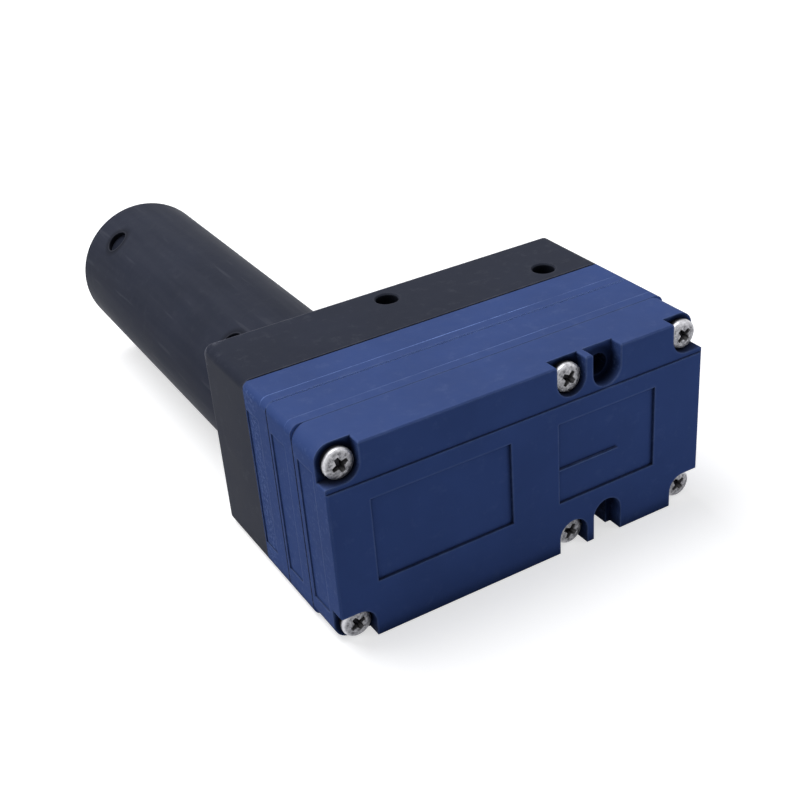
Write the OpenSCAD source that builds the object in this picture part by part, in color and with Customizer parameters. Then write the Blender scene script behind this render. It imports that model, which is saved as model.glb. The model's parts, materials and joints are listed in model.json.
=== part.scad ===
// Multistage vacuum ejector: a clamped stack of plates with a silencer on its back.
// Two rows of nozzles inside the blue plates draw air from the vacuum port in the
// black base block and blow it out through the silencer tube.
//
// Frame: X runs along the stack from its exhaust end to its inlet end, Y runs from the
// cover to the free end of the silencer, Z is up. The part lies on one long side, and
// the origin is at the bottom centre of its bounding box.
// Shapes are placed by x from the exhaust end, depth behind the front of the cover, and
// height above the long side it lies on.

/* [Stack] */
// Length of the plates
body_l = 131; // [126:1:160]
// Width of the plates, the height when it lies on its side
body_w = 66; // [64:1:80]
// Thickness of the front cover
cover_t = 18.9; // [14:0.1:26]
// Thickness of the first ejector plate
upper_t = 15.8; // [14:0.1:20]
// Thickness of the second ejector plate
lower_t = 15.8; // [14:0.1:20]
// Thickness of the base block
base_t = 28.2; // [27:0.1:40]
// Thickness of the gaskets, which sit in the backs of the cover and the ejector plates
gasket_t = 0.5; // [0.3:0.1:1]
// Radius of the four long corners of the ejector plates and the base block
corner_r = 3; // [1:0.5:4]
// Radius of the cover's four long corners
cover_r = 5; // [1:0.5:6]

/* [Cover] */
// How far the lower field of the cover stands proud of its upper band
field_step = 0.5; // [0.2:0.1:1]
// Width of the upper band that holds the upper screws
band_w = 12.6; // [12.2:0.1:16]
// Depth of the two flat name fields
panel_deep = 0.9; // [0.3:0.1:1.5]
// Depth of the screw pockets from the front
pocket_deep = 5.4; // [4.5:0.1:6.5]
// Radius of the screw pockets
pocket_r = 5.2; // [5:0.1:5.6]
// Radius of the rounded corners where the pockets open to the sides
mouth_r = 0.5; // [0.3:0.1:2]
// Width of the bevel along the front edges
front_bevel = 0.5; // [0.2:0.1:0.8]

/* [Fastening] */
// Distance of the end screws from the ends of the stack
screw_end = 6; // [5:0.1:8]
// Distance of the screws from the long sides
screw_side = 5.8; // [5:0.1:6]
// Distance of the middle screws from the exhaust end
screw_mid = 81.7; // [78:0.1:83]
// Distance of the fixing hole and the fixing slot from the exhaust end
fix_x = 94.6; // [94:0.1:98]
// Distance of the fixing hole from the upper long side
hole_side = 6.8; // [6:0.1:7]
// Distance of the fixing slot's round end from the lower long side
slot_side = 8.5; // [6:0.1:9]
// Radius of the fixing hole and the fixing slot
fix_r = 3.5; // [2.7:0.1:3.6]
// Radius of the two cross holes through the base block
cross_r = 3.75; // [3:0.25:4]

/* [Ports] */
// Distance from the exhaust end to the side of the silencer
exhaust_end = 5; // [3:0.5:7]
// Distance of the vacuum port from the exhaust end
vacuum_x = 87.5; // [86:0.5:90]
// Distance of the compressed air inlet from the inlet end
inlet_end = 10; // [9:0.5:11]

/* [Silencer] */
// Outer radius of the silencer tube
tube_r = 26.5; // [25:0.5:31]
// Length of the silencer tube
tube_l = 147; // [80:1:220]
// Wall of the silencer tube
tube_wall = 2.5; // [2:0.25:3.5]
// Radius of the round windows that the end caps snap into
window_r = 4.4; // [3:0.2:5]
// Number of windows round each end
window_n = 3; // [2:1:6]

/* [Hidden] */
$fn = 96;
few_sides = 24;

// Colours of the materials
blue_plastic = "#2b4482";
black_plastic = "#33353d";
zinc_steel = "#c9ccd2";
brass = "#b9974a";
aluminium = "#aeb3ba";
rubber = "#1d1d1f";
pale_plastic = "#d9d6cc";
felt = "#8f8b82";

// How far a cutting shape runs past the face it cuts
over = 1;
// Clearance round a piece in its bore
fit = 0.1;

// Depths of the stack's layers
cover_back = cover_t;
upper_back = cover_back + upper_t;
lower_back = upper_back + lower_t;
base_back = lower_back + base_t;
mid_h = body_w / 2;

// Width of the rim round the seats of the gaskets
seat_rim = 1.8;

// Silencer: its tube stands in a shallow seat in the base block
seat_deep = 2;
flange_t = 3;
tube_front = base_back - seat_deep;
tube_back = tube_front + tube_l;
overall_l = tube_back + flange_t;
exhaust_x = exhaust_end + tube_r;
exhaust_r = 16.6;
exhaust_wall = 2.9;

// Screws: M5 pan heads in threaded inserts, and how far they reach into the base block
screw_x = [screw_end, screw_mid, body_l - screw_end];
screw_h = [screw_side, body_w - screw_side];
screw_r = 2.5;
screw_hole_r = 2.75;
screw_head_r = 4.75;
screw_head_t = 3.7;
screw_dome = 1.2;
screw_reach = 14.9;
screw_l = lower_back + screw_reach - pocket_deep;
screw_point = 0.7;
recess_w = 1.1;
recess_l = 4.8;
recess_deep = 2;
insert_r = 3.6;
insert_l = 12;
insert_hole_l = 17;

// Name fields of the cover as [x from, x to] and [height from, height to]
left_panel = [13, 59.5];
right_panel = [76.4, 112.6];
panel_h = [body_w - 46.8, body_w - 18.7];
rule_h = body_w - 35.2;
rule_l = 22;
rule_w = 0.5;

// Hollows in the back of the cover, between its screw columns
hollow_from = 7;
hollow_x = [[13, 44], [47, 75], [102, 116]];
hollow_side = 14;

// Sunk strips across both ends of the cover and the ejector plates, as [depth from, depth to]
strip_side = 9;
strip_deep = 0.4;
cover_strip = [cover_back - 11.5, cover_back - 2.3];
upper_strip = [upper_back - 10.4, upper_back - 1.5];
lower_strip = [lower_back - 8.8, lower_back - 0.8];

// Behind its front band an ejector plate stands back a little from the long sides
side_step = 0.3;
band_t = 3.9;

// Rows of chambers: third, second and first, counted away from the exhaust
wall_t = 1.8;
chamber_l = 14;
bulkhead_t = 4;
chamber_from = exhaust_x + exhaust_r + exhaust_wall + bulkhead_t;
chamber_x = [for (i = [0:2]) [
    chamber_from + i * (chamber_l + bulkhead_t),
    chamber_from + i * (chamber_l + bulkhead_t) + chamber_l
]];
third = chamber_x[0];
second = chamber_x[1];
first = chamber_x[2];
outlet_from = chamber_from - bulkhead_t;
chamber_w = 21;
channel_w = 6.8;
valve_wall = 2.8;
chamber_h = [mid_h - chamber_w / 2, mid_h + chamber_w / 2];
channel_h = [chamber_h[0] - valve_wall - channel_w, chamber_h[0] - valve_wall];
channel_x = [third[0], first[1]];
upper_row = (cover_back + upper_back) / 2;
lower_row = (upper_back + lower_back) / 2;

// Air passages
inlet_x = body_l - inlet_end;
gallery_r = 2.5;
gallery_x = inlet_x + gallery_r;
row_bore_r = 4;
first_seat_l = 10;
valve_window_w = 7;
valve_window_t = 6;

// Nozzles as [length, entry radius, throat radius, exit radius], and where the throat lies
first_nozzle_size = [18, 2.6, 0.6, 0.9];
second_nozzle_size = [17, 2.6, 1.1, 1.5];
third_nozzle_size = [17, 3, 1.6, 2.1];
outlet_nozzle_size = [27, 3.2, 2.2, 3];
nozzle_r = row_bore_r - fit;
nozzle_lip = 0.8;
entry_l = 4;
throat_part = [0.3, 0.45];
collar_t = 1.5;
collar_r = min(row_bore_r + 1.2, min(upper_t, lower_t) / 2 - wall_t - fit);
groove_t = 1.6;
groove_deep = 0.9;
ring_r = 0.45;

// Flap valves and their rivets
flap_t = 1;
flap_w = 11;
flap_l = 9;
rivet_r = 1;
rivet_in = 2;
rivet_from = 1.5;
rivet_head_r = 1.5;
rivet_head_t = 0.5;
rivet_fit = 0.05;

// Base block: vacuum space with its lid, and the two ports
lid_t = 1.5;
lid_rim = 3;
lid_lip = 2;
space_t = 13;
space_in = 1;
space_l = 47;
space_over = 3;
space_x = [chamber_from + space_in, chamber_from + space_in + space_l];
space_h = [channel_h[0] + space_in, chamber_h[1] + space_over];
space_back = lower_back + lid_t + space_t;
vacuum_r = 12.06;
vacuum_insert_r = 15;
vacuum_insert_l = 13;
vacuum_disc_t = 0.8;
vacuum_disc_hole_r = 1.3;
vacuum_disc_pitch = 4.2;
vacuum_disc_reach = 2.5;
inlet_r = 5.72;
inlet_insert_r = 7.4;
inlet_insert_l = 12;
inlet_disc_t = 1.5;

// Cross holes through the base block as [x, depth], and the bevel of their mouths
cross_places = [[61.3, base_back - 7.2], [113.6, lower_back + 7.6]];
cross_bevel = 0.5;

// Silencer caps and filling
neck_r = exhaust_r - fit;
neck_bore_r = 12.5;
neck_l = 14;
cap_r = tube_r - tube_wall - fit;
cap_skirt_t = 2.4;
cap_face_t = 4;
cap_l = 27;
window_in = 20;
window_turn = -127;
window_deep = 2;
front_windows = tube_front + window_in;
back_windows = overall_l - window_in;
end_round = 2.5;
vent_n = 10;
vent_r = 2.6;
vent_side = 6.9;
vent_ring = cap_r - vent_side;
core_r = 14.5;
core_wall = 1.5;
core_hole_r = 2;
core_rows = 8;
pad_t = 3;
seal_r = cap_r - 3;
seal_t = 1;

// Moves the stack into the frame
module framed() {
    translate([-body_l / 2, -overall_l / 2, 0]) children();
}

// Extrudes a flat shape, drawn in x and height, from one depth to another
module slab(from, to) {
    translate([0, to, 0]) rotate([90, 0, 0]) linear_extrude(to - from) children();
}

// Stands a shape's own Z along the depth, at a place given by x and height
module on_axis(x, h, from) {
    translate([x, from, h]) rotate([-90, 0, 0]) children();
}

// Lays a shape's own Z along a nozzle row, pointing to the exhaust
module on_row(x, depth) {
    translate([x, depth, mid_h]) rotate([0, -90, 0]) children();
}

// Mirrors a shape from the long side below to the long side above
module at_top() {
    translate([0, 0, body_w]) mirror([0, 0, 1]) children();
}

// Mirrors a shape from the exhaust end to the inlet end
module at_inlet_end() {
    translate([body_l, 0, 0]) mirror([1, 0, 0]) children();
}

// Rectangle with round corners and one corner at the origin
module rounded_rect(l, w, r) {
    translate([r, 0]) square([l - 2 * r, w]);
    translate([0, r]) square([l, w - 2 * r]);
    for (x = [r, l - r], y = [r, w - r]) {
        translate([x, y]) circle(r);
    }
}

// Rectangle between two x values and two heights
module field(x, h) {
    translate([x[0], h[0]]) square([x[1] - x[0], h[1] - h[0]]);
}

// Outline of the plates, or a smaller one all round by a rim
module outline(r = corner_r, rim = 0) {
    translate([rim, rim]) rounded_rect(body_l - 2 * rim, body_w - 2 * rim, r);
}

module screw_circles(r) {
    for (x = screw_x, h = screw_h) {
        translate([x, h]) circle(r);
    }
}

// Closed fixing hole near the upper side and open fixing slot in the lower side
module fixing_holes() {
    translate([fix_x, body_w - hole_side]) circle(fix_r);
    side_slot(fix_x, slot_side, fix_r);
}

// Slot with a round end, open to the long side below
module side_slot(x, h, r) {
    translate([x, h]) circle(r);
    translate([x - r, -over]) square([2 * r, h + over]);
}

// Openings that the gaskets and the plates behind them share
module passages() {
    translate([exhaust_x, mid_h]) circle(exhaust_r);
    translate([gallery_x, mid_h]) circle(gallery_r);
    field(channel_x, channel_h);
}

// Rounds the corner where a pocket's wall, at a distance from the origin, meets the side below
module mouth(wall) {
    translate([wall, -over]) difference() {
        square([mouth_r, mouth_r + over]);
        translate([mouth_r, mouth_r + over]) circle(mouth_r);
    }
}

// Pocket that opens to the long side below, from a front depth
module side_pocket(x, h, front) {
    slab(front - over, pocket_deep) {
        side_slot(x, h, pocket_r);
        for (side = [0, 1]) {
            translate([x, 0]) mirror([side, 0]) mouth(pocket_r);
        }
    }
}

// Pocket that opens to the long side below and to the exhaust end
module corner_pocket(front) {
    slab(front - over, pocket_deep) {
        translate([screw_end, screw_side]) circle(pocket_r);
        translate([-over, -over]) square([screw_end + pocket_r + over, screw_side + over]);
        translate([-over, -over]) square([screw_end + over, screw_side + pocket_r + over]);
        mouth(screw_end + pocket_r);
        mirror([1, -1]) mouth(screw_side + pocket_r);
    }
}

// The pockets along one long side of the cover, the fixing pocket at its own height
module pocket_row(front, fix_h) {
    corner_pocket(front);
    at_inlet_end() corner_pocket(front);
    side_pocket(screw_mid, screw_side, front);
    side_pocket(fix_x, fix_h, front);
}

// Bevel along the front edge of one end
module end_bevel() {
    translate([0, 0, -over]) linear_extrude(body_w + 2 * over)
        polygon([[-over, -over], [front_bevel + over, -over], [-over, front_bevel + over]]);
}

// Bevel along the front edge of the long side below, from a front depth
module side_bevel(front) {
    translate([-over, front, 0]) rotate([90, 0, 90]) linear_extrude(body_l + 2 * over)
        polygon([[-over, -over], [front_bevel + over, -over], [-over, front_bevel + over]]);
}

// Sunk strips across both ends of a plate, over a stretch of its depth
module end_strips(depth) {
    strip = [strip_deep + over, depth[1] - depth[0], body_w - 2 * strip_side];
    translate([-over, depth[0], strip_side]) cube(strip);
    at_inlet_end() translate([-over, depth[0], strip_side]) cube(strip);
}

// Shallow seat for a gasket in the back of a plate, inside a rim
module gasket_seat(back) {
    slab(back - gasket_t, back + over) outline(corner_r, seat_rim);
}

// Front cover: upper band, lower field with two sunk name fields, pockets, hollow back
module cover() {
    color(blue_plastic) framed() difference() {
        slab(0, cover_back) outline(cover_r);
        slab(-over, field_step) translate([-over, body_w - band_w])
            square([body_l + 2 * over, band_w + over]);
        pocket_row(0, slot_side);
        at_top() pocket_row(field_step, hole_side);
        slab(-over, cover_back + over) screw_circles(screw_hole_r);
        slab(-over, cover_back + over) fixing_holes();
        slab(-over, panel_deep) field(left_panel, panel_h);
        slab(-over, panel_deep) difference() {
            field(right_panel, panel_h);
            translate([right_panel[0], rule_h]) square([rule_l, rule_w]);
        }
        for (x = hollow_x) {
            slab(hollow_from, cover_back + over) field(x, [hollow_side, body_w - hollow_side]);
        }
        end_bevel();
        at_inlet_end() end_bevel();
        side_bevel(0);
        at_top() side_bevel(field_step);
        end_strips(cover_strip);
        gasket_seat(cover_back);
    }
}

// Flat gasket in the seat in a plate's back, with openings given as children
module gasket_sheet(back) {
    slab(back - gasket_t, back) difference() {
        outline(corner_r, seat_rim + fit);
        screw_circles(screw_hole_r);
        fixing_holes();
        children();
    }
}

module cover_gasket() {
    color(rubber) framed() gasket_sheet(cover_back);
}

module plate_gasket() {
    color(rubber) framed() gasket_sheet(upper_back) passages();
}

module base_gasket() {
    color(rubber) framed() gasket_sheet(lower_back) passages();
}

// Body of an ejector plate: a full band in front and a slightly slimmer part behind it
module plate_body(front, back) {
    slab(front, front + band_t) outline();
    slab(front + band_t, back) intersection() {
        outline();
        translate([0, side_step]) square([body_l, body_w - 2 * side_step]);
    }
}

// Window and rivet hole of one flap valve, in the wall between channel and chamber
module valve_holes(chamber, row) {
    mid_x = (chamber[0] + chamber[1]) / 2;
    translate([mid_x - valve_window_w / 2, row - valve_window_t / 2, channel_h[1] - over])
        cube([valve_window_w, valve_window_t, valve_wall + 2 * over]);
    translate([mid_x - flap_w / 2 + rivet_from, row, chamber_h[0] - rivet_in])
        cylinder(h = rivet_in + over, r = rivet_r + rivet_fit);
}

// Everything that is hollow in an ejector plate, cut from its back
module ejector_spaces(front, back, row) {
    wall = front + wall_t;
    slab(wall, back + over) {
        for (x = chamber_x) {
            field(x, chamber_h);
        }
        field(channel_x, channel_h);
        field(first, [channel_h[0], chamber_h[1]]);
        field([exhaust_x, outlet_from], chamber_h);
        translate([exhaust_x, mid_h]) circle(exhaust_r);
    }
    on_axis(gallery_x, mid_h, row) cylinder(h = back - row + over, r = gallery_r);
    on_row(gallery_x, row) cylinder(h = gallery_x - first[1], r = gallery_r);
    on_row(first[1] + first_seat_l, row)
        cylinder(h = first[1] + first_seat_l - outlet_from + over, r = row_bore_r);
    valve_holes(second, row);
    valve_holes(third, row);
}

module upper_ejector_plate() {
    color(blue_plastic) framed() difference() {
        plate_body(cover_back, upper_back);
        slab(cover_back - over, upper_back + over) screw_circles(screw_hole_r);
        slab(cover_back - over, upper_back + over) fixing_holes();
        ejector_spaces(cover_back, upper_back, upper_row);
        end_strips(upper_strip);
        gasket_seat(upper_back);
    }
}

// The second plate also lets the first plate's passages through
module lower_ejector_plate() {
    color(blue_plastic) framed() difference() {
        plate_body(upper_back, lower_back);
        slab(upper_back - over, lower_back + over) screw_circles(screw_hole_r);
        slab(upper_back - over, lower_back + over) fixing_holes();
        slab(upper_back - over, upper_back + wall_t + over) passages();
        on_axis(gallery_x, mid_h, upper_back) cylinder(h = lower_row - upper_back, r = gallery_r);
        ejector_spaces(upper_back, lower_back, lower_row);
        end_strips(lower_strip);
        gasket_seat(lower_back);
    }
}

// Cross hole through the base block, bevelled at both mouths
module cross_hole(x, depth) {
    translate([x, depth, -over]) cylinder(h = body_w + 2 * over, r = cross_r);
    for (flip = [0, 1]) {
        translate([x, depth, flip * body_w]) mirror([0, 0, flip]) translate([0, 0, -over])
            cylinder(h = over + cross_bevel, r1 = cross_r + cross_bevel + over, r2 = cross_r);
    }
}

// Base block with the vacuum space, the ports, the silencer seat and the cross holes
module base_block() {
    vacuum_seat = base_back - vacuum_insert_l - vacuum_disc_t;
    inlet_seat = base_back - inlet_insert_l - inlet_disc_t;
    color(black_plastic) framed() difference() {
        slab(lower_back, base_back) outline();
        slab(lower_back - over, base_back + over) fixing_holes();
        slab(lower_back - over, lower_back + insert_l) screw_circles(insert_r);
        slab(lower_back, lower_back + insert_hole_l) screw_circles(screw_hole_r);
        slab(lower_back - over, lower_back + lid_t) chamber_lid(0);
        slab(lower_back - over, space_back) field(space_x, space_h);
        on_axis(vacuum_x, mid_h, space_back - over) cylinder(h = base_t, r = vacuum_r);
        on_axis(vacuum_x, mid_h, vacuum_seat) cylinder(h = base_t, r = vacuum_insert_r);
        on_axis(gallery_x, mid_h, lower_back - over)
            cylinder(h = inlet_seat - lower_back + 2 * over, r = gallery_r);
        on_axis(inlet_x, mid_h, inlet_seat) cylinder(h = base_t, r = inlet_insert_r);
        on_axis(exhaust_x, mid_h, lower_back - over) cylinder(h = base_t + 2 * over, r = exhaust_r);
        on_axis(exhaust_x, mid_h, tube_front) cylinder(h = base_t, r = tube_r + fit);
        for (place = cross_places) {
            cross_hole(place[0], place[1]);
        }
    }
}

// Outline of the lid over the vacuum space, made smaller by a clearance
module chamber_lid(gap) {
    lid_x = [space_x[0] - lid_rim + gap, space_x[1] + lid_rim - gap];
    lid_h = [space_h[0] - lid_lip + gap, space_h[1] + lid_lip - gap];
    field(lid_x, lid_h);
}

// Lid over the vacuum space, open towards the side channel
module chamber_plate() {
    color(aluminium) framed() slab(lower_back, lower_back + lid_t) difference() {
        chamber_lid(fit);
        field(space_x, [space_h[0], channel_h[1]]);
    }
}

// Pan-head screw with a cross recess, its head's top at the origin
module pan_screw() {
    tip = screw_head_t + screw_l;
    difference() {
        rotate_extrude() polygon([
            [0, 0], [screw_head_r - screw_dome, 0], [screw_head_r, screw_dome],
            [screw_head_r, screw_head_t], [screw_r, screw_head_t],
            [screw_r, tip - screw_point], [screw_r - screw_point, tip], [0, tip]
        ]);
        for (turn = [45, 135]) {
            rotate([0, 0, turn]) translate([-recess_l / 2, -recess_w / 2, -over])
                cube([recess_l, recess_w, recess_deep + over]);
        }
    }
}

module cover_screws() {
    color(zinc_steel) framed() {
        for (x = screw_x, h = screw_h) {
            on_axis(x, h, pocket_deep - screw_head_t) pan_screw();
        }
    }
}

// Ring with a plain bore
module ring(l, outer_r, inner_r) {
    difference() {
        cylinder(h = l, r = outer_r);
        translate([0, 0, -over]) cylinder(h = l + 2 * over, r = inner_r);
    }
}

module screw_inserts() {
    color(brass) framed() {
        for (x = screw_x, h = screw_h) {
            on_axis(x, h, lower_back) ring(insert_l, insert_r, screw_r + fit / 2);
        }
    }
}

// Inside of a nozzle from its far end to its entry: it widens from the throat both ways
function nozzle_bore(size) = [
    [size[3], size[0]], [size[2], size[0] * throat_part[1]],
    [size[2], size[0] * throat_part[0]], [size[1], 0]
];

// Plain nozzle that is pressed into its seat, with a ring groove round the middle of it
module pressed_nozzle(size) {
    groove = (first_seat_l - groove_t) / 2;
    rotate_extrude() polygon(concat(nozzle_bore(size), [
        [nozzle_r, 0], [nozzle_r, groove], [nozzle_r - groove_deep, groove],
        [nozzle_r - groove_deep, groove + groove_t], [nozzle_r, groove + groove_t],
        [nozzle_r, first_seat_l], [size[3] + nozzle_lip, size[0]]
    ]));
}

// Nozzle with a collar that rests on a bulkhead, and a ring groove inside the bulkhead
module collar_nozzle(size) {
    seat = entry_l + collar_t;
    groove = seat + (bulkhead_t - groove_t) / 2;
    rotate_extrude() polygon(concat(nozzle_bore(size), [
        [nozzle_r, 0], [nozzle_r, entry_l], [collar_r, entry_l], [collar_r, seat],
        [nozzle_r, seat], [nozzle_r, groove], [nozzle_r - groove_deep, groove],
        [nozzle_r - groove_deep, groove + groove_t], [nozzle_r, groove + groove_t],
        [nozzle_r, seat + bulkhead_t], [size[3] + nozzle_lip, size[0]]
    ]));
}

// Ring in the groove of a nozzle, at a distance from the nozzle's entry
module o_ring(distance) {
    translate([0, 0, distance]) rotate_extrude()
        translate([nozzle_r - groove_deep + ring_r, 0]) circle(ring_r, $fn = few_sides);
}

// Where the nozzles start
first_start = first[1] + first_seat_l;
second_start = first[0] + collar_t + entry_l;
third_start = second[0] + collar_t + entry_l;
outlet_start = third[0] + collar_t + entry_l;

module upper_first_nozzle() {
    color(brass) framed() on_row(first_start, upper_row) pressed_nozzle(first_nozzle_size);
}

module upper_second_nozzle() {
    color(pale_plastic) framed() on_row(second_start, upper_row) collar_nozzle(second_nozzle_size);
}

module upper_third_nozzle() {
    color(pale_plastic) framed() on_row(third_start, upper_row) collar_nozzle(third_nozzle_size);
}

module upper_outlet_nozzle() {
    color(pale_plastic) framed() on_row(outlet_start, upper_row) collar_nozzle(outlet_nozzle_size);
}

module lower_first_nozzle() {
    color(brass) framed() on_row(first_start, lower_row) pressed_nozzle(first_nozzle_size);
}

module lower_second_nozzle() {
    color(pale_plastic) framed() on_row(second_start, lower_row) collar_nozzle(second_nozzle_size);
}

module lower_third_nozzle() {
    color(pale_plastic) framed() on_row(third_start, lower_row) collar_nozzle(third_nozzle_size);
}

module lower_outlet_nozzle() {
    color(pale_plastic) framed() on_row(outlet_start, lower_row) collar_nozzle(outlet_nozzle_size);
}

// The four rings of one row
module ring_row(row) {
    on_row(first_start, row) o_ring(first_seat_l / 2);
    for (start = [second_start, third_start, outlet_start]) {
        on_row(start, row) o_ring(entry_l + collar_t + bulkhead_t / 2);
    }
}

module upper_o_rings() {
    color(rubber) framed() ring_row(upper_row);
}

module lower_o_rings() {
    color(rubber) framed() ring_row(lower_row);
}

// Puts its children where the flap valves of one row are riveted to the chamber wall
module at_rivets(row) {
    for (chamber = [second, third]) {
        translate([(chamber[0] + chamber[1] - flap_w) / 2 + rivet_from, row, chamber_h[0]]) children();
    }
}

// Rubber tongues over the valve windows of one row
module flap_row(row) {
    at_rivets(row) difference() {
        translate([-rivet_from, -flap_l / 2, 0]) cube([flap_w, flap_l, flap_t]);
        translate([0, 0, -over]) cylinder(h = flap_t + 2 * over, r = rivet_r + rivet_fit);
    }
}

module rivet_row(row) {
    at_rivets(row) {
        translate([0, 0, -rivet_in]) cylinder(h = rivet_in + flap_t, r = rivet_r);
        translate([0, 0, flap_t]) cylinder(h = rivet_head_t, r = rivet_head_r);
    }
}

module upper_flap_valves() {
    color(rubber) framed() flap_row(upper_row);
}

module lower_flap_valves() {
    color(rubber) framed() flap_row(lower_row);
}

module upper_flap_rivets() {
    color(zinc_steel) framed() rivet_row(upper_row);
}

module lower_flap_rivets() {
    color(zinc_steel) framed() rivet_row(lower_row);
}

module vacuum_port_insert() {
    color(brass) framed() on_axis(vacuum_x, mid_h, base_back - vacuum_insert_l)
        ring(vacuum_insert_l, vacuum_insert_r, vacuum_r);
}

// Perforated disc held under the vacuum port insert
module vacuum_strainer() {
    color(zinc_steel) framed() on_axis(vacuum_x, mid_h, base_back - vacuum_insert_l - vacuum_disc_t)
        difference() {
            cylinder(h = vacuum_disc_t, r = vacuum_insert_r - fit);
            for (i = [-2:2], j = [-2:2]) {
                if (norm([i, j]) < vacuum_disc_reach) {
                    translate([i * vacuum_disc_pitch, j * vacuum_disc_pitch, -over])
                        cylinder(h = vacuum_disc_t + 2 * over, r = vacuum_disc_hole_r, $fn = few_sides);
                }
            }
        }
}

module air_inlet_insert() {
    color(brass) framed() on_axis(inlet_x, mid_h, base_back - inlet_insert_l)
        ring(inlet_insert_l, inlet_insert_r, inlet_r);
}

// Sintered disc that keeps dirt out of the nozzles
module inlet_strainer() {
    color(brass) framed() on_axis(inlet_x, mid_h, base_back - inlet_insert_l - inlet_disc_t)
        cylinder(h = inlet_disc_t, r = inlet_insert_r - fit);
}

// Lays its children's own Z along each window of one silencer end, pointing outwards
module at_windows(depth) {
    for (i = [0:window_n - 1]) {
        on_axis(exhaust_x, mid_h, depth) rotate([0, 0, i * 360 / window_n + window_turn])
            rotate([0, 90, 0]) children();
    }
}

module silencer_tube() {
    color(black_plastic) framed() difference() {
        on_axis(exhaust_x, mid_h, tube_front) cylinder(h = tube_l, r = tube_r);
        on_axis(exhaust_x, mid_h, tube_front - over) cylinder(h = tube_l + 2 * over, r = tube_r - tube_wall);
        for (depth = [front_windows, back_windows]) {
            at_windows(depth) cylinder(h = tube_r + over, r = window_r);
        }
    }
}

// Round bosses of a cap that snap into the tube's windows
module cap_bosses(depth) {
    at_windows(depth) translate([0, 0, cap_r - over])
        cylinder(h = tube_r - window_deep - cap_r + over, r = window_r - fit);
}

// Cap in the front of the tube, with a neck that screws into the base block
module silencer_front_cap() {
    color(black_plastic) framed() difference() {
        union() {
            on_axis(exhaust_x, mid_h, tube_front) cylinder(h = cap_l, r = cap_r);
            on_axis(exhaust_x, mid_h, tube_front - neck_l) cylinder(h = neck_l + over, r = neck_r);
            cap_bosses(front_windows);
        }
        on_axis(exhaust_x, mid_h, tube_front + cap_face_t) cylinder(h = cap_l, r = cap_r - cap_skirt_t);
        on_axis(exhaust_x, mid_h, tube_front - neck_l - over)
            cylinder(h = neck_l + cap_face_t + 2 * over, r = neck_bore_r);
        on_axis(exhaust_x, mid_h, tube_front - over) ring(seal_t + over, seal_r, neck_r);
    }
}

// Flat ring that seals the front cap against the base block
module silencer_seal() {
    color(rubber) framed() on_axis(exhaust_x, mid_h, tube_front) ring(seal_t, seal_r - fit, neck_r + fit);
}

// Cap in the free end, with a rounded rim and a ring of vents
module silencer_end_cap() {
    color(black_plastic) framed() difference() {
        union() {
            on_axis(exhaust_x, mid_h, tube_back) rotate_extrude() {
                square([tube_r - end_round, flange_t]);
                square([tube_r, flange_t - end_round]);
                translate([tube_r - end_round, flange_t - end_round]) intersection() {
                    circle(end_round);
                    square(end_round);
                }
            }
            on_axis(exhaust_x, mid_h, tube_back - cap_l) cylinder(h = cap_l + over, r = cap_r);
            cap_bosses(back_windows);
        }
        on_axis(exhaust_x, mid_h, tube_back - cap_l - over)
            cylinder(h = cap_l + over, r = cap_r - cap_skirt_t);
        for (i = [0:vent_n - 1]) {
            on_axis(exhaust_x, mid_h, tube_back - over) rotate([0, 0, i * 360 / vent_n])
                translate([vent_ring, 0, 0]) cylinder(h = flange_t + 2 * over, r = vent_r);
        }
    }
}

// Perforated tube that the felt is packed round
module silencer_core() {
    core_from = tube_front + cap_face_t;
    core_l = tube_back - pad_t - core_from;
    pitch = core_l / core_rows;
    color(aluminium) framed() difference() {
        on_axis(exhaust_x, mid_h, core_from) ring(core_l, core_r, core_r - core_wall);
        for (i = [0:core_rows - 1], turn = [0, 90]) {
            on_axis(exhaust_x, mid_h, core_from + (i + 0.5) * pitch) rotate([0, 90, turn + 45 * (i % 2)])
                cylinder(h = 3 * core_r, r = core_hole_r, center = true, $fn = few_sides);
        }
    }
}

module silencer_lining() {
    color(felt) framed() on_axis(exhaust_x, mid_h, tube_front + cap_l)
        ring(tube_l - 2 * cap_l, cap_r, core_r + fit);
}

// Felt disc behind the vents
module silencer_end_pad() {
    color(felt) framed() on_axis(exhaust_x, mid_h, tube_back - pad_t)
        cylinder(h = pad_t, r = cap_r - cap_skirt_t - fit);
}

cover();
cover_gasket();
upper_ejector_plate();
plate_gasket();
lower_ejector_plate();
base_gasket();
base_block();
chamber_plate();
cover_screws();
screw_inserts();
upper_first_nozzle();
upper_second_nozzle();
upper_third_nozzle();
upper_outlet_nozzle();
lower_first_nozzle();
lower_second_nozzle();
lower_third_nozzle();
lower_outlet_nozzle();
upper_o_rings();
lower_o_rings();
upper_flap_valves();
lower_flap_valves();
upper_flap_rivets();
lower_flap_rivets();
vacuum_port_insert();
vacuum_strainer();
air_inlet_insert();
inlet_strainer();
silencer_tube();
silencer_front_cap();
silencer_end_cap();
silencer_core();
silencer_lining();
silencer_end_pad();
silencer_seal();
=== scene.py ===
import json
import math

import bmesh
import bpy
from mathutils import Euler, Matrix, Vector


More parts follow.
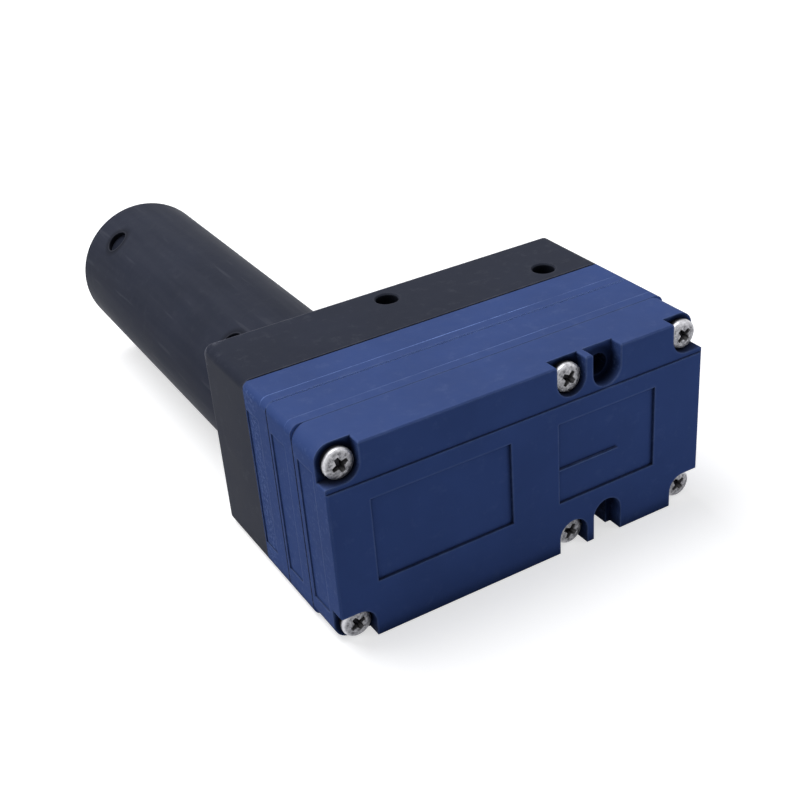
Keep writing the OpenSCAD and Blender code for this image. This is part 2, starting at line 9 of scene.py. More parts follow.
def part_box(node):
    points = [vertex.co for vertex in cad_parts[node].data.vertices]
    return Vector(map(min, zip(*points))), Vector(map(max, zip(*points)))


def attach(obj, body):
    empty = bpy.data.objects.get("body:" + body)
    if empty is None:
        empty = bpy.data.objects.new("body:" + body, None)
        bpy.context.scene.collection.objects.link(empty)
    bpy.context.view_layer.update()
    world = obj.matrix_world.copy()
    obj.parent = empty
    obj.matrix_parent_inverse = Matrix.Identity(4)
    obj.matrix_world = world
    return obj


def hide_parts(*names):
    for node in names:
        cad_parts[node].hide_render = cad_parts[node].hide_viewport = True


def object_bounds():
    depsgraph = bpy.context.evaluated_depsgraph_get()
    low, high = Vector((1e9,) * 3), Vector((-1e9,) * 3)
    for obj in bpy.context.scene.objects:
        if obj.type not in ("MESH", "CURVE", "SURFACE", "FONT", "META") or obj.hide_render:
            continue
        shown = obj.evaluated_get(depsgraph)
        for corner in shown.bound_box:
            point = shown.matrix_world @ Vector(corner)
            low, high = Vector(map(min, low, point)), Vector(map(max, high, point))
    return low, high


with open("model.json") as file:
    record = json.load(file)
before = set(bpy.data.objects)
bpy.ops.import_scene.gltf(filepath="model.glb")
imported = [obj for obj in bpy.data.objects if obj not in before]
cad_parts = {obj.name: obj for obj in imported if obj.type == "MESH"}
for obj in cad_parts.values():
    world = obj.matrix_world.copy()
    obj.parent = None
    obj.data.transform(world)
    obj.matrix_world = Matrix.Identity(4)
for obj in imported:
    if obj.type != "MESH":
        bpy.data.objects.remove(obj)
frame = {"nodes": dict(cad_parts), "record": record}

MM = 0.001
scene = bpy.context.scene
nodes = frame["nodes"]
record = frame["record"]
mounts = {row["name"]: row for row in record["mounts"]}
cad_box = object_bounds()


# ---------------------------------------------------------------- sizes and places

# Pan-head screws: head, shank, and how far the middle ones are from the exhaust end
HEAD_R = 4.75 * MM
HEAD_T = 3.7 * MM
SHANK_R = 2.5 * MM
MIDDLE_SCREWS = 81.7 * MM

# Middle of the fixing slot's round end, above the lower long side
SLOT_SIDE = 8.5 * MM

# Thickness of the full-width band at the front of each ejector plate
BAND_T = 3.9 * MM

# Pitches of the port threads G3/4 and G1/4
VACUUM_PITCH = 1.814 * MM
INLET_PITCH = 1.337 * MM

# Joints behind the cover, the upper and the lower ejector plate, and the back edges of the bands
joints = [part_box(name)[1][1] for name in ("cover", "upper_ejector_plate", "lower_ejector_plate")]
cover_joint, plate_joint, base_joint = joints
front_band_edge = cover_joint + BAND_T
back_band_edge = plate_joint + BAND_T

# Upper corner at the exhaust end of the base block's back
back_corner = (cad_box[0][0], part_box("base_block")[1][1], cad_box[1][2])


def screw_places():
    """Middles of the six screws' seats, the upper row first."""
    low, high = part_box("cover_screws")
    columns = (low[0] + HEAD_R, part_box("cover")[0][0] + MIDDLE_SCREWS, high[0] - HEAD_R)
    rows = (high[2] - HEAD_R, low[2] + HEAD_R)
    return [(x, low[1] + HEAD_T, z) for z in rows for x in columns]


def fixing_places():
    """Middles of the floors of the head pockets at the fixing hole and the slot."""
    hole = mounts["fixing_hole"]
    x, y, z = hole["pos_m"]
    floor = y - hole["dims"]["length_mm"] * MM / 2
    return [(x, floor, z), (x, floor, SLOT_SIDE)]


def window_places():
    """Middles of the silencer tube's round windows, three near each end."""
    from_front = 20 * MM
    from_back = 17 * MM
    first_turn = 127
    low, high = (Vector(corner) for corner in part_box("silencer_tube"))
    middle = (low + high) / 2
    tube_r = high.z - middle.z
    places = []
    for depth in (low.y + from_front, high.y - from_back):
        for third in range(3):
            turn = math.radians(first_turn + 120 * third)
            across = tube_r * math.cos(turn)
            rise = tube_r * math.sin(turn)
            places.append((middle.x + across, depth, middle.z + rise))
    return places


# ---------------------------------------------------------------- shader helpers


class Shader:
    """Builds one material's node tree, with short calls for the nodes that repeat."""

    def __init__(self, name):
        self.material = bpy.data.materials.new(name)
        self.material.use_nodes = True
        self.tree = self.material.node_tree
        self.bsdf = self.tree.nodes["Principled BSDF"]
        self.place = self.add("ShaderNodeTexCoord").outputs["Object"]

    def add(self, kind, **settings):
        node = self.tree.nodes.new(kind)
        for key, value in settings.items():
            setattr(node, key, value)
        return node

    def join(self, output, socket):
        self.tree.links.new(output, socket)

    def noise(self, scale, detail=2.0, rough=0.5, place=None):
        """Noise between 0 and 1; scale is the number of cells in a metre."""
        node = self.add("ShaderNodeTexNoise")
        node.inputs["Scale"].default_value = scale
        node.inputs["Detail"].default_value = detail
        node.inputs["Roughness"].default_value = rough
        self.join(place or self.place, node.inputs["Vector"])
        return node.outputs["Fac"]

    def stretch(self, x, y, z):
        """Coordinates stretched along the axes, for streaks."""
        node = self.add("ShaderNodeMapping")
        node.inputs["Scale"].default_value = (x, y, z)
        self.join(self.place, node.inputs["Vector"])
        return node.outputs["Vector"]

    def spread(self, value, low, high, to_low=0.0, to_high=1.0):
        """Maps a value's range from low and high to two new values, and holds it between them."""
        node = self.add("ShaderNodeMapRange")
        limits = {"From Min": low, "From Max": high, "To Min": to_low, "To Max": to_high}
        for key, number in limits.items():
            node.inputs[key].default_value = number
        self.join(value, node.inputs["Value"])
        return node.outputs["Result"]

    def mix(self, fac, a, b):
        """Mixes two colours, given as values or as outputs."""
        node = self.add("ShaderNodeMix", data_type="RGBA")
        self.join(fac, node.inputs["Factor"])
        for key, colour in (("A", a), ("B", b)):
            socket = [s for s in node.inputs if s.name == key and s.type == "RGBA"][0]
            if isinstance(colour, tuple):
                socket.default_value = (*colour, 1)
            else:
                self.join(colour, socket)
        return [s for s in node.outputs if s.type == "RGBA"][0]

    def maths(self, operation, a, b=None):
        node = self.add("ShaderNodeMath", operation=operation)
        for socket, value in zip(node.inputs, (a, b)):
            if isinstance(value, (int, float)):
                socket.default_value = value
            elif value is not None:
                self.join(value, socket)
        return node.outputs[0]

    def times(self, a, b):
        return self.maths("MULTIPLY", a, b)

    def away(self, value, centre):
        """Distance of a value from a centre."""
        return self.maths("ABSOLUTE", self.maths("SUBTRACT", value, centre))

    def soft_edges(self, radius):
        """Normal with the edges rounded off."""
        node = self.add("ShaderNodeBevel", samples=6)
        node.inputs["Radius"].default_value = radius
        return node.outputs["Normal"]

    def edges(self, reach):
        """1 on sharp outer edges, fading to 0 within a reach of them."""
        node = self.add("ShaderNodeAmbientOcclusion", samples=6, inside=True, only_local=True)
        node.inputs["Distance"].default_value = reach
        return self.spread(node.outputs["AO"], 0.92, 0.55)

    def hollows(self, reach, shallow=0.82, deep=0.25):
        """0 on open faces and 1 deep in corners and pockets, between two amounts of open sky."""
        node = self.add("ShaderNodeAmbientOcclusion", samples=6)
        node.inputs["Distance"].default_value = reach
        return self.spread(node.outputs["AO"], shallow, deep)

    def slant(self, axis):
        """How squarely the surface faces along an object axis, from -1 to 1."""
        split = self.add("ShaderNodeSeparateXYZ")
        self.join(self.add("ShaderNodeTexCoord").outputs["Normal"], split.inputs[0])
        return split.outputs[axis]

    def facing(self, axis):
        """How squarely the surface faces along an object axis, either way, from 0 to 1."""
        return self.maths("ABSOLUTE", self.slant(axis))

    def position(self, axis):
        """Place along an object axis, in metres."""
        split = self.add("ShaderNodeSeparateXYZ")
        self.join(self.place, split.inputs[0])
        return split.outputs[axis]

    def near(self, places, inner, outer):
        """1 within an inner distance of any of some places, and 0 from an outer distance."""
        found = None
        for place in places:
            node = self.add("ShaderNodeVectorMath", operation="DISTANCE")
            self.join(self.place, node.inputs[0])
            node.inputs[1].default_value = place
            spot = self.spread(node.outputs["Value"], outer, inner)
            found = spot if found is None else self.maths("MAXIMUM", found, spot)
        return found

    def lines(self, depths, half):
        """1 at any of some depths along Y, fading to 0 at half a width from it."""
        core = 0.4 * half
        found = None
        for depth in depths:
            line = self.spread(self.away(self.position("Y"), depth), half, core)
            found = line if found is None else self.maths("MAXIMUM", found, line)
        return found

    def bump(self, height, distance, strength, normal=None):
        node = self.add("ShaderNodeBump")
        node.inputs["Strength"].default_value = strength
        node.inputs["Distance"].default_value = distance
        self.join(height, node.inputs["Height"])
        if normal:
            self.join(normal, node.inputs["Normal"])
        return node.outputs["Normal"]

    def finish(self, colour, rough, normal, **constants):
        """Joins the outputs to the shader, sets constants on its own sockets, and gives the material."""
        for key, value in (("Base Color", colour), ("Roughness", rough), ("Normal", normal)):
            self.join(value, self.bsdf.inputs[key])
        for key, value in constants.items():
            self.bsdf.inputs[key.replace("_", " ")].default_value = value
        return self.material


def tint(colour, k):
    return tuple(k * c for c in colour)


# ---------------------------------------------------------------- plastics

# Linear colours, each with its paler worn tone, which also serves for painted highlights
BLUE = (0.040, 0.074, 0.225)
BLUE_WORN = (0.10, 0.15, 0.33)
BLACK = (0.026, 0.030, 0.047)
BLACK_WORN = (0.10, 0.105, 0.13)
TUBE_WORN = (0.06, 0.064, 0.085)
IVORY = (0.60, 0.58, 0.52)
IVORY_WORN = (0.70, 0.69, 0.65)
# Pale film for upward faces, partly dusty and partly painted sheen
DUST_AND_SHEEN = (0.42, 0.42, 0.43)


def moulded(
    name, colour, worn, grain, rough, level, dust_and_sheen=0.0, shade=0.85,
    streaked=False, rubbed=False, jointed=False,
):
    """Moulded plastic: cloudy colour, rubbed patches, painted shade in the hollows, worn edges that also
    stand for painted edge highlights, and a pale film on top, partly dusty and partly painted sheen.

    level is the specular level, dust the share on top of a pale film, partly dusty and partly painted
    sheen, and shade the depth of the painted shade in the hollows.
    """
    s = Shader(name)
    cloud = s.noise(38, detail=3, rough=0.55)
    fine = s.noise(grain, rough=0.6)
    patchy = s.noise(210, detail=6, rough=0.7)
    tone = s.mix(s.spread(cloud, 0.3, 0.7), tint(colour, 0.93), tint(colour, 1.07))
    tone = s.mix(s.times(s.spread(patchy, 0.56, 0.74), 0.18), tone, worn)
    if streaked:
        tone = add_streaks(s, tone, colour, worn)
    # Painted shade in the hollows, near and broad
    tone = s.mix(s.times(s.hollows(6 * MM), shade), tone, tint(colour, 0.2))
    broad_hollows = s.hollows(9 * MM, shallow=0.75, deep=0.5)
    tone = s.mix(s.times(broad_hollows, 0.85 * shade), tone, tint(colour, 0.15))
    # Pale worn edges, which also stand for painted edge highlights
    edge_wear_and_highlight = s.times(s.edges(0.7 * MM), s.spread(patchy, 0.3, 0.6, to_low=0.35))
    tone = s.mix(s.times(edge_wear_and_highlight, 0.8), tone, worn)
    if rubbed:
        tone = add_rubbed_corner(s, tone, worn)
    # Pale film on upward faces, partly dusty and partly painted sheen, patchy
    on_top = s.spread(s.slant("Z"), 0.2, 0.95, to_high=dust_and_sheen)
    uneven = s.spread(patchy, 0.3, 0.7, to_low=0.75, to_high=1.25)
    tone = s.mix(s.times(on_top, uneven), tone, DUST_AND_SHEEN)
    if jointed:
        tone = add_pocket_shade(s, tone, colour)
        tone = add_joints(s, tone, colour, worn)
    grainy_cloud = s.maths("ADD", s.times(fine, 0.4), cloud)
    gloss = s.spread(grainy_cloud, 0.4, 1.1, to_low=rough - 0.06, to_high=rough + 0.08)
    normal = s.bump(fine, 0.04 * MM, 0.35, s.soft_edges(0.4 * MM))
    return s.finish(tone, gloss, normal, Specular_IOR_Level=level)


def add_streaks(s, tone, colour, worn):
    """Broad and narrow rubbed streaks along the silencer, and painted shade round its windows."""
    along = s.stretch(4, 0.3, 4)
    broad = s.spread(s.noise(55, place=along), 0.4, 0.65, to_high=0.15)
    narrow = s.spread(s.noise(110, detail=1, place=along), 0.66, 0.74, to_high=0.4)
    # Painted shade round the windows
    window_shade = s.near(window_places(), 5.0 * MM, 7.2 * MM)
    tone = s.mix(broad, tone, worn)
    tone = s.mix(narrow, tone, worn)
    return s.mix(s.times(window_shade, 0.85), tone, tint(colour, 0.45))


def add_rubbed_corner(s, tone, worn):
    """Pale broken edges round the base block's back corner."""
    pale = s.times(s.near([back_corner], 5 * MM, 14 * MM), s.edges(2.2 * MM))
    broken = s.spread(s.noise(420, detail=4, rough=0.75), 0.46, 0.56)
    return s.mix(s.times(s.times(pale, broken), 0.7), tone, tint(worn, 1.5))


def add_pocket_shade(s, tone, colour):
    """Painted shade in the pockets round the screws and at the fixing holes."""
    at_screws = s.near(screw_places(), 5.2 * MM, 5.9 * MM)
    at_fixings = s.near(fixing_places(), 5.3 * MM, 7 * MM)
    pockets = s.maths("MAXIMUM", at_screws, at_fixings)
    return s.mix(s.times(pockets, 0.75), tone, tint(colour, 0.12))


def add_joints(s, tone, colour, worn):
    """Dirt and painted shade in the joints between the plates, painted light on the narrow step faces,
    scuffed ends, and painted highlights on the worn mould flash along the bands.
    """
    # Dark lines at the joints, partly dirt and partly painted shade of the gaps, strong on the ends and
    # fainter on the long sides
    flat_end = s.spread(s.facing("X"), 0.85, 0.98)
    tone = s.mix(s.times(s.lines(joints, 0.5 * MM), flat_end), tone, tint(colour, 0.1))
    flat_side = s.spread(s.facing("Z"), 0.3, 0.8, to_high=0.55)
    side_joints = s.lines([cover_joint, base_joint], 0.38 * MM)
    tone = s.mix(s.times(side_joints, flat_side), tone, tint(colour, 0.4))

    # Painted light on the narrow faces of the steps, which would look too dark beside their neighbours
    step = s.spread(s.facing("Y"), 0.6, 0.9)
    tone = s.mix(s.times(s.lines([plate_joint], 0.05 * MM), step), tone, tint(worn, 2.6))
    tone = s.mix(s.times(s.lines([cover_joint], 0.05 * MM), step), tone, tint(colour, 1.6))

    # Scuffs on both ends, and finer scratches near the base block
    end_face = s.spread(s.facing("X"), 0.6, 0.9)
    scuffs = s.times(s.noise(620, detail=5, rough=0.75), end_face)
    tone = s.mix(s.spread(scuffs, 0.52, 0.68, to_high=0.35), tone, worn)
    scratches = s.spread(s.times(s.noise(800, detail=4, rough=0.8), end_face), 0.5, 0.6)
    scratched = s.times(scratches, s.lines([base_joint - 4 * MM], 4.5 * MM))
    tone = s.mix(s.times(scratched, 0.5), tone, tint(worn, 1.3))

    # Painted highlight along the mould flash, brightest near the middle of the long sides
    gaps = s.spread(s.noise(24, detail=1), 0.35, 0.6, to_low=0.75, to_high=1.15)
    ragged = s.times(s.noise(190, detail=4, rough=0.75), gaps)
    back = s.times(s.lines([back_band_edge], 0.26 * MM), s.spread(ragged, 0.38, 0.58))
    front = s.times(s.lines([front_band_edge], 0.2 * MM), s.spread(ragged, 0.36, 0.7, to_high=0.6))
    flash_highlight = s.times(s.maths("MAXIMUM", back, front), s.facing("Z"))
    from_middle = s.away(s.position("X"), 4 * MM)
    fading = s.spread(from_middle, 14 * MM, 30 * MM, to_low=1.0, to_high=0.45)
    return s.mix(s.times(flash_highlight, fading), tone, tint(worn, 2.6))


# ---------------------------------------------------------------- metals, rubber and felt


def metal(name, colour, dark, rough, streak=(1, 1, 1)):
    """Plated or turned metal with a fine uneven finish and painted shade in its hollows."""
    s = Shader(name)
    fine = s.noise(900, detail=4, rough=0.6, place=s.stretch(*streak))
    spots = s.spread(s.noise(420, detail=5, rough=0.65), 0.5, 0.75)
    tone = s.mix(s.times(spots, 0.5), colour, dark)
    # Painted shade in the hollows
    tone = s.mix(s.times(s.hollows(2 * MM), 0.8), tone, tint(dark, 0.3))
    gloss = s.spread(fine, 0.3, 0.7, to_low=rough - 0.07, to_high=rough + 0.1)
    normal = s.bump(fine, 0.02 * MM, 0.3, s.soft_edges(0.2 * MM))
    return s.finish(tone, gloss, normal, Metallic=1.0)


def screw_steel(top):
    """Zinc plate, with a painted bright reflection on the round rim of a head, a painted dark reflection
    on its flat, and painted shade in its hollows, in its recess and low on the head.

    top is the depth of the heads' tops.
    """
    # Tones for the painted reflections: dark on a head's flat, pale to bright on its rim
    grey, pale, bright = (0.09, 0.09, 0.10), (0.40, 0.40, 0.42), (0.66, 0.66, 0.69)
    # Tones of painted shade: in the hollows, in the cross recesses and low in the pockets
    hollow_shade, recess_shade, head_pocket_shade = (0.02, 0.018, 0.02), (0.10, 0.098, 0.10), (0.03, 0.03, 0.035)
    s = Shader("screw_steel")
    mottle = s.noise(1100, detail=3, rough=0.6)
    # The flat is painted as a dark reflection and the round rim as a bright one
    rim = s.spread(s.facing("Y"), 0.96, 0.8)
    flat_dark_reflection = s.mix(s.spread(mottle, 0.34, 0.68), grey, pale)
    rim_bright_reflection = s.mix(s.spread(mottle, 0.3, 0.7), pale, bright)
    tone = s.mix(rim, flat_dark_reflection, rim_bright_reflection)
    # Painted shade in the hollows, in the cross recesses and low on the head inside its pocket
    tone = s.mix(s.spread(s.hollows(1.2 * MM), 0.1, 0.55), tone, hollow_shade)
    recess_middles = [(x, top + 0.8 * MM, z) for x, seat, z in screw_places()]
    recesses = s.near(recess_middles, 2.6 * MM, 3.0 * MM)
    below_top = s.spread(s.position("Y"), top + 0.22 * MM, top + 0.5 * MM)
    tone = s.mix(s.times(s.times(recesses, below_top), 0.85), tone, recess_shade)
    low_on_head = s.spread(s.position("Y"), top + 1.2 * MM, top + 2.2 * MM)
    tone = s.mix(low_on_head, tone, head_pocket_shade)
    gloss = s.spread(mottle, 0.3, 0.7, to_low=0.38, to_high=0.55)
    normal = s.bump(mottle, 0.03 * MM, 0.4, s.soft_edges(0.15 * MM))
    return s.finish(tone, gloss, normal, Metallic=1.0)


def soft(name, colour, light, rough, scale, depth):
    """Rubber and felt: a matt, uneven surface."""
    s = Shader(name)
    fibre = s.noise(scale, detail=6, rough=0.7)
    tone = s.mix(s.spread(fibre, 0.35, 0.7), colour, light)
    gloss = s.spread(fibre, 0.3, 0.7, to_low=rough - 0.08, to_high=rough)
    return s.finish(tone, gloss, s.bump(fibre, depth, 0.6), Specular_IOR_Level=0.2)


# ---------------------------------------------------------------- materials on the nodes

MATERIALS = {
    "blue_plastic": moulded(
        "blue_plastic", BLUE, BLUE_WORN, grain=2600, rough=0.46, level=0.007, dust_and_sheen=0.035, jointed=True
    ),
    "black_plastic": moulded(
        "black_plastic", BLACK, BLACK_WORN, grain=2200, rough=0.42, level=0.011, dust_and_sheen=0.015, rubbed=True
    ),
    "zinc_steel": metal("zinc_steel", (0.62, 0.62, 0.64), (0.36, 0.36, 0.38), rough=0.27),
    "brass": metal("brass", (0.62, 0.45, 0.20), (0.36, 0.24, 0.09), rough=0.30, streak=(1, 8, 1)),
    "aluminium": metal("aluminium", (0.62, 0.63, 0.65), (0.4, 0.4, 0.42), rough=0.34, streak=(1, 6, 1)),
    "rubber": soft(
        "rubber", (0.008, 0.008, 0.009), (0.02, 0.02, 0.022), rough=0.78, scale=900, depth=0.04 * MM
    ),
    "pale_plastic": moulded("pale_plastic", IVORY, IVORY_WORN, grain=2400, rough=0.45, level=0.3),
    "felt": soft(
        "felt", (0.12, 0.11, 0.095), (0.26, 0.24, 0.21), rough=0.97, scale=1800, depth=0.2 * MM
    ),
}
TUBE_PLASTIC = moulded(
    "tube_plastic", BLACK, TUBE_WORN, grain=2200, rough=0.4, level=0.006, dust_and_sheen=0.02, shade=0.55,
    streaked=True,
)
# Caps in a darker copy of the black plastic: painted shade on their faces seen through the tube's windows
SHADED_CAP_PLASTIC = moulded(
    "shaded_cap_plastic", tint(BLACK, 0.8), tint(BLACK, 1.6), grain=2200, rough=0.5, level=0.006, shade=0.3
)
OWN_LOOKS = {
    "silencer_tube": TUBE_PLASTIC,
    "silencer_front_cap": SHADED_CAP_PLASTIC,
    "silencer_end_cap": SHADED_CAP_PLASTIC,
}

slot_of = {row["node"]: row["material_slot"] for row in record["subparts"]}
for name, obj in nodes.items():
    obj.data.materials.clear()
    obj.data.materials.append(OWN_LOOKS.get(name, MATERIALS[slot_of[name]]))


# ---------------------------------------------------------------- screws and threaded inserts


def add_piece(name, bm, material, node, smooth):
    """Makes a piece that stands for a CAD node. Edges of more than smooth degrees stay sharp."""
    mesh = bpy.data.meshes.new(name)
    bm.to_mesh(mesh)
    bm.free()
    mesh.shade_smooth()
    mesh.set_sharp_from_angle(angle=math.radians(smooth))
    mesh.materials.append(material)
    piece = bpy.data.objects.new(name, mesh)
    scene.collection.objects.link(piece)
    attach(piece, "root")
    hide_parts(node)


def lathe(profile, steps):
    """Closed surface turned about the local Z, from points of radius and height that start on it."""
    bm = bmesh.new()
    points = [bm.verts.new((r, 0, z)) for r, z in profile]
    lines = [bm.edges.new(pair) for pair in zip(points, points[1:])]
    bmesh.ops.spin(
        bm, geom=points + lines, cent=(0, 0, 0), axis=(0, 0, 1), angle=math.tau, steps=steps
    )
    bmesh.ops.remove_doubles(bm, verts=bm.verts, dist=0.001 * MM)
    bmesh.ops.recalc_face_normals(bm, faces=bm.faces)
    return bm


def cross(reach, tip, core):
    """Outline of a cross recess: the reach and half-width of its wings, and its inner corners."""
    quarter = [Vector((reach, -tip)), Vector((reach, tip)), Vector((core, core))]
    return [Matrix.Rotation(turn * math.pi / 2, 2) @ p for turn in range(4) for p in quarter]


def recess_cutter(top):
    """Tapered plug with the shape of a cross recess, from just above a head's top down."""
    levels = [
        (top + 0.4 * MM, cross(reach=2.8 * MM, tip=0.75 * MM, core=1.05 * MM)),
        (top - 0.4 * MM, cross(reach=2.5 * MM, tip=0.6 * MM, core=0.9 * MM)),
        (top - 2.5 * MM, cross(reach=1.5 * MM, tip=0.4 * MM, core=0.56 * MM)),
    ]
    bm = bmesh.new()
    rings = [[bm.verts.new((p.x, p.y, z)) for p in outline] for z, outline in levels]
    for upper, lower in zip(rings, rings[1:]):
        for i in range(len(upper)):
            bm.faces.new((upper[i - 1], upper[i], lower[i], lower[i - 1]))
    bm.faces.new(rings[0])
    bm.faces.new(rings[-1][::-1])
    bmesh.ops.recalc_face_normals(bm, faces=bm.faces)
    return bm


def cut(bm, cutter):
    """The first bmesh less the second, both used up."""
    made = []
    for name, part in (("cut_base", bm), ("cut_tool", cutter)):
        mesh = bpy.data.meshes.new(name)
        part.to_mesh(mesh)
        part.free()
        made.append(bpy.data.objects.new(name, mesh))
        scene.collection.objects.link(made[-1])
    base, tool = made
    boolean = base.modifiers.new("cut", "BOOLEAN")
    boolean.operation = "DIFFERENCE"
    boolean.solver = "EXACT"
    boolean.object = tool
    result = bmesh.new()
    result.from_object(base, bpy.context.evaluated_depsgraph_get())
    for obj in made:
        mesh = obj.data
        bpy.data.objects.remove(obj)
        bpy.data.meshes.remove(mesh)
    return result


def screw_profile(length):
    """Half section of a pan-head screw with its seat at 0, from the tip to the middle of the top."""
    tip = 0.7 * MM
    side_t = 0.58 * HEAD_T
    dome_t = HEAD_T - side_t
    dome_steps = 20
    fullness = 2 / 2.8
    profile = [(0, -length), (SHANK_R - tip, -length), (SHANK_R, tip - length), (SHANK_R, 0)]
    underside = [(HEAD_R - 0.45 * MM, 0), (HEAD_R - 0.3 * MM, 0.2 * MM)]
    side = [(HEAD_R, 0.4 * HEAD_T), (HEAD_R, side_t)]
    profile += underside + side
    for step in range(1, dome_steps):
        turn = step / dome_steps * math.pi / 2
        r = HEAD_R * math.cos(turn) ** fullness
        profile.append((r, side_t + dome_t * math.sin(turn) ** fullness))
    return profile + [(0, HEAD_T)]


def add_screws():
    """Pan-head screws with a tapered cross recess, each turned its own way."""
    turns = (24, 52, 40, 30, 58, 36)
    around = 64
    low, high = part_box("cover_screws")
    steel = screw_steel(low[1])
    for i, ((x, seat, z), turn) in enumerate(zip(screw_places(), turns)):
        solid = lathe(screw_profile(high[1] - seat), around)
        plug = recess_cutter(HEAD_T)
        plug.transform(Matrix.Rotation(math.radians(turn), 4, "Z"))
        screw = cut(solid, plug)
        screw.transform(Matrix.Translation((x, seat, z)) @ Matrix.Rotation(math.pi / 2, 4, "X"))
        add_piece(f"screw_{i + 1}", screw, steel, "cover_screws", smooth=28)


def thread_r(z, turn, length, minor_r, pitch):
    """Radius of a right-hand inside thread at a height and a share of a turn, wider at its mouths."""
    depth = 0.6 * pitch
    mouth_l = 1.12 * depth
    tooth = abs(2 * ((z / pitch - turn) % 1) - 1)
    mouth = max(0, 1 - min(z, length - z) / mouth_l)
    return minor_r + max(depth * tooth, 1.2 * depth * mouth)


def add_threaded_insert(node, mount, pitch):
    """Port insert with an inside thread, from the radius of its mount, and a bevelled rim."""
    around = 96
    rows_per_turn = 8
    rim = 0.4 * MM
    low, high = (Vector(corner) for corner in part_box(node))
    middle = (low + high) / 2
    length = high.y - low.y
    outer_r = (high.x - low.x) / 2
    minor_r = mounts[mount]["dims"]["r_mm"] * MM
    rows = round(length / pitch * rows_per_turn)

    # Radii round each ring, up the outside and then down the bore
    outside = [(0, outer_r), (length - rim, outer_r), (length, outer_r - rim)]
    rings = [(z, [r] * around) for z, r in outside]
    for k in range(rows + 1):
        z = length * (1 - k / rows)
        radii = [thread_r(z, step / around, length, minor_r, pitch) for step in range(around)]
        rings.append((z, radii))

    bm = bmesh.new()
    loops = []
    for z, radii in rings:
        loop = []
        for step, r in enumerate(radii):
            angle = step / around * math.tau
            loop.append(bm.verts.new((r * math.cos(angle), r * math.sin(angle), z)))
        loops.append(loop)
    for loop, after in zip(loops, loops[1:] + loops[:1]):
        for k in range(around):
            bm.faces.new((loop[k - 1], loop[k], after[k], after[k - 1]))
    bmesh.ops.recalc_face_normals(bm, faces=bm.faces)
    stand = Matrix.Translation((middle.x, low.y, middle.z))
    bm.transform(stand @ Matrix.Rotation(-math.pi / 2, 4, "X"))
    add_piece(f"{node}_threaded", bm, MATERIALS["brass"], node, smooth=50)


add_screws()
add_threaded_insert("vacuum_port_insert", "vacuum_port", VACUUM_PITCH)
add_threaded_insert("air_inlet_insert", "air_inlet", INLET_PITCH)


# ---------------------------------------------------------------- camera, floor, light

WHITE = (1, 1, 1, 1)
FLOOR_GREY = (0.62, 0.62, 0.63, 1)
SKY = (0.93, 0.96, 1.0, 1)


def add_camera(place, azimuth, elevation, roll, lens):
    """Camera that looks along +Y, turned towards +X by the azimuth, down by the elevation, and rolled."""
    data = bpy.data.cameras.new("camera")
    data.sensor_width = 36
    data.lens = lens
    camera = bpy.data.objects.new("camera", data)
    tilt = Euler((math.pi / 2 - math.radians(elevation), 0, -math.radians(azimuth)))
    turn = tilt.to_matrix() @ Matrix.Rotation(math.radians(roll), 3, "Z")
    camera.matrix_world = Matrix.Translation(place) @ turn.to_4x4()
    scene.collection.objects.link(camera)
    scene.camera = camera


def shown_white(tree, lit, white, out):
    """Shows white to camera, mirror and glass rays, and the lit shader to the rest."""
    path = tree.nodes.new("ShaderNodeLightPath")
    seen = path.outputs["Is Camera Ray"]
    for key in ("Is Glossy Ray", "Is Transmission Ray"):
        most = tree.nodes.new("ShaderNodeMath")
        most.operation = "MAXIMUM"
        tree.links.new(seen, most.inputs[0])
        tree.links.new(path.outputs[key], most.inputs[1])
        seen = most.outputs[0]
    mix = tree.nodes.new("ShaderNodeMixShader")
    tree.links.new(seen, mix.inputs[0])
    tree.links.new(lit, mix.inputs[1])
    tree.links.new(white, mix.inputs[2])
    tree.links.new(mix.outputs[0], out)


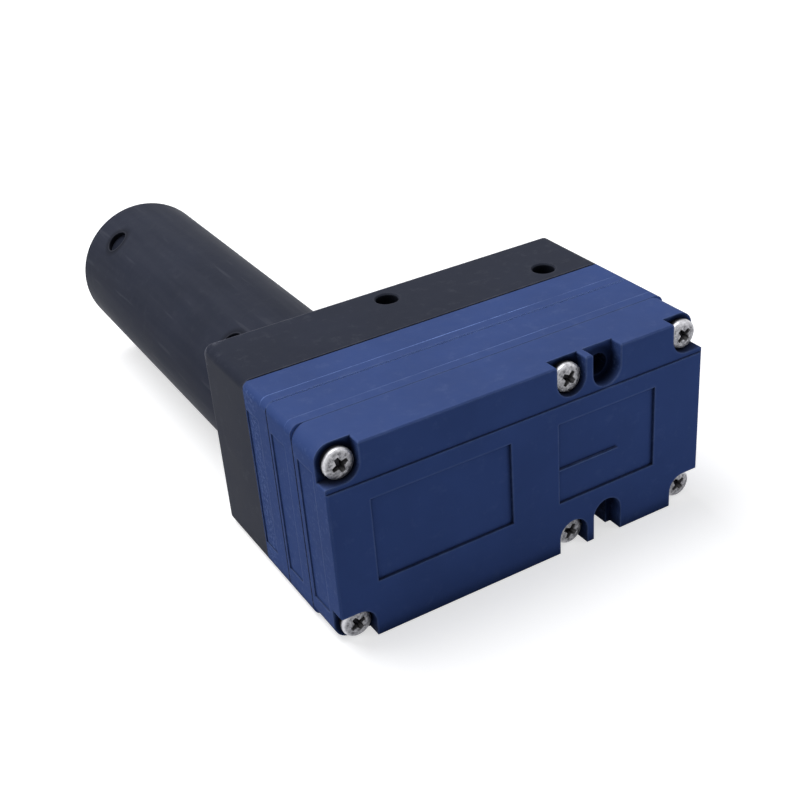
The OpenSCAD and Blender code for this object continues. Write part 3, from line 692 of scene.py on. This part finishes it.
def add_floor():
    """Pale floor, with a glow that makes it nearly white where the object's shadow doesn't fall."""
    half = 3.0
    corners = [(-half, -half, 0), (half, -half, 0), (half, half, 0), (-half, half, 0)]
    mesh = bpy.data.meshes.new("floor")
    mesh.from_pydata(corners, [], [(0, 1, 2, 3)])
    floor = bpy.data.objects.new("floor", mesh)
    scene.collection.objects.link(floor)
    material = bpy.data.materials.new("floor")
    material.use_nodes = True
    tree = material.node_tree
    lit = tree.nodes["Principled BSDF"]
    lit.inputs["Base Color"].default_value = FLOOR_GREY
    lit.inputs["Roughness"].default_value = 0.9
    glow = tree.nodes.new("ShaderNodeEmission")
    glow.inputs["Color"].default_value = WHITE
    glow.inputs["Strength"].default_value = 0.62
    both = tree.nodes.new("ShaderNodeAddShader")
    tree.links.new(lit.outputs[0], both.inputs[0])
    tree.links.new(glow.outputs[0], both.inputs[1])
    shown_white(tree, lit.outputs[0], both.outputs[0], tree.nodes["Material Output"].inputs[0])
    mesh.materials.append(material)


def add_world():
    """Dim, slightly blue surroundings, which are white where they are seen."""
    world = bpy.data.worlds.new("world")
    world.use_nodes = True
    tree = world.node_tree
    lit = tree.nodes["Background"]
    lit.inputs["Color"].default_value = SKY
    lit.inputs["Strength"].default_value = 0.22
    white = tree.nodes.new("ShaderNodeBackground")
    white.inputs["Color"].default_value = WHITE
    shown_white(tree, lit.outputs[0], white.outputs[0], tree.nodes["World Output"].inputs[0])
    scene.world = world


def add_light(name, place, aim, size, power):
    """Round lamp of a size in metres and a power in watts."""
    data = bpy.data.lights.new(name, "AREA")
    data.shape = "DISK"
    data.size = size
    data.energy = power
    light = bpy.data.objects.new(name, data)
    light.location = place
    light.visible_camera = False
    towards = Vector(aim) - Vector(place)
    light.rotation_euler = towards.to_track_quat("-Z", "Y").to_euler()
    scene.collection.objects.link(light)


block_middle = (0.0, -0.03, 0.03)
cover_side = (0.05, -0.1, 0.03)
add_camera((-0.18075, -0.37499, 0.24639), azimuth=28.14, elevation=30.09, roll=-4.88, lens=58.15)
add_floor()
add_world()
add_light("overhead", (-0.25, 0.35, 1.15), block_middle, size=0.9, power=13.0)
add_light("left", (-1.1, -0.1, 0.35), block_middle, size=0.6, power=1.1)
add_light("right", (0.22, -0.30, 0.10), cover_side, size=0.12, power=0.12)
scene.view_settings.view_transform = "Standard"
